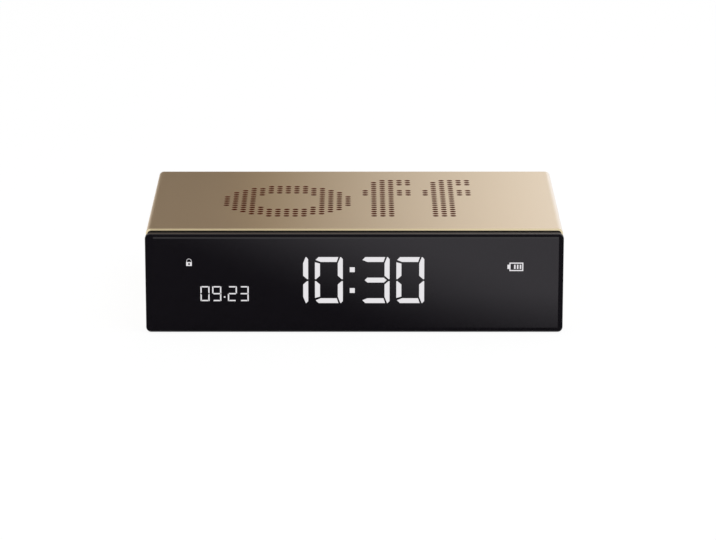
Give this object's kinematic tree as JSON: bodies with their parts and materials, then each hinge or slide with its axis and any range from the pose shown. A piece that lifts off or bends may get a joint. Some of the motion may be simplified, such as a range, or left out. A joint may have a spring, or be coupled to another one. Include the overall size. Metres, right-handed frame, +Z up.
{
  "type": "digital alarm clock",
  "caption": "Reversible bedside alarm clock: perforated aluminium sleeve, smoked front lens over a segment display, rear push buttons and charging socket.",
  "frame": {"origin": "middle of the base it rests on, with the off side up", "axes": "+X to the right seen from the front, +Y to the back, +Z up; the lens faces -Y"},
  "size_m": [0.131, 0.0834, 0.0325],
  "materials": {
    "anodised_sleeve": "bead-blasted champagne anodised",
    "smoked_lens": "polished smoked acrylic",
    "bezel_black": "fine moulded texture",
    "cover_black": "fine moulded texture",
    "button_black": "satin moulded",
    "plunger_cream": "moulded",
    "bond_tape": "foam tape",
    "touch_copper": "polyimide film",
    "guide_white": "moulded",
    "segment_lit": "diffusing, lit from behind",
    "segment_dark": "diffusing, unlit",
    "board_green": "solder mask on glass epoxy",
    "led_resin": "phosphor resin",
    "screw_steel": "zinc plated",
    "screw_black": "black oxide",
    "dust_mesh": "woven",
    "tray_grey": "moulded",
    "foam": "closed cell foam",
    "pouch_foil": "laminated foil",
    "lead_red": "insulated",
    "lead_black": "insulated",
    "lead_grey": "insulated",
    "plug_nylon": "moulded nylon",
    "chip_epoxy": "moulded epoxy",
    "passive_tan": "ceramic",
    "ribbon_film": "laminated film",
    "can_steel": "nickel plated",
    "basket_steel": "zinc passivated",
    "ferrite": "sintered ferrite",
    "cone_paper": "pressed paper"
  },
  "bodies": {
    "casing": {"aluminium_sleeve": "anodised_sleeve", "front_bezel": "bezel_black", "front_lens": "smoked_lens", "lens_tape": "bond_tape", "touch_film": "touch_copper", "bezel_screws": "screw_black", "light_guide_housing": "guide_white", "time_segments_lit": "segment_lit", "time_segments_dark": "segment_dark", "date_segments_lit": "segment_lit", "date_segments_dark": "segment_dark", "status_signs": "segment_lit", "display_board": "board_green", "display_leds": "led_resin", "display_board_screws": "screw_steel", "upper_mesh": "dust_mesh", "lower_mesh": "dust_mesh", "inner_tray": "tray_grey", "battery_pad": "foam", "battery_cell": "pouch_foil", "battery_leads": "lead_red", "battery_plug": "plug_nylon", "battery_socket": "plug_nylon", "main_board": "board_green", "main_board_screws": "screw_steel", "controller_chips": "chip_epoxy", "board_passives": "passive_tan", "display_ribbon": "ribbon_film", "ribbon_sockets": "chip_epoxy", "tilt_can": "can_steel", "speaker_basket": "basket_steel", "speaker_magnet": "ferrite", "speaker_cone": "cone_paper", "speaker_gasket": "foam", "speaker_leads": "lead_black", "speaker_plug": "plug_nylon", "speaker_screws": "screw_steel", "usb_shell": "can_steel", "usb_tongue": "chip_epoxy", "rear_cover": "cover_black", "rear_cover_screws": "screw_black", "button_board": "board_green", "button_board_screws": "screw_steel", "button_leads": "lead_grey", "button_plugs": "plug_nylon", "tact_switches": "chip_epoxy"},
    "alarm_button": {"alarm_button": "button_black", "alarm_plunger": "plunger_cream"},
    "clock_button": {"clock_button": "button_black", "clock_plunger": "plunger_cream"},
    "plus_button": {"plus_button": "button_black", "plus_plunger": "plunger_cream"},
    "minus_button": {"minus_button": "button_black", "minus_plunger": "plunger_cream"},
    "tilt_ball": {"tilt_ball": "can_steel"}
  },
  "joints": [
    {"name": "alarm_press", "type": "slide", "parent": "casing", "child": "alarm_button", "axis": [0, -1, 0], "range_m": [0, 0.0005], "stiffness_N_per_m": 2000},
    {"name": "clock_press", "type": "slide", "parent": "casing", "child": "clock_button", "axis": [0, -1, 0], "range_m": [0, 0.0005], "stiffness_N_per_m": 2000},
    {"name": "plus_press", "type": "slide", "parent": "casing", "child": "plus_button", "axis": [0, -1, 0], "range_m": [0, 0.0005], "stiffness_N_per_m": 2000},
    {"name": "minus_press", "type": "slide", "parent": "casing", "child": "minus_button", "axis": [0, -1, 0], "range_m": [0, 0.0005], "stiffness_N_per_m": 2000},
    {"name": "tilt_roll", "type": "slide", "parent": "casing", "child": "tilt_ball", "axis": [0, 0, 1], "range_m": [0, 0.0015]}
  ]
}
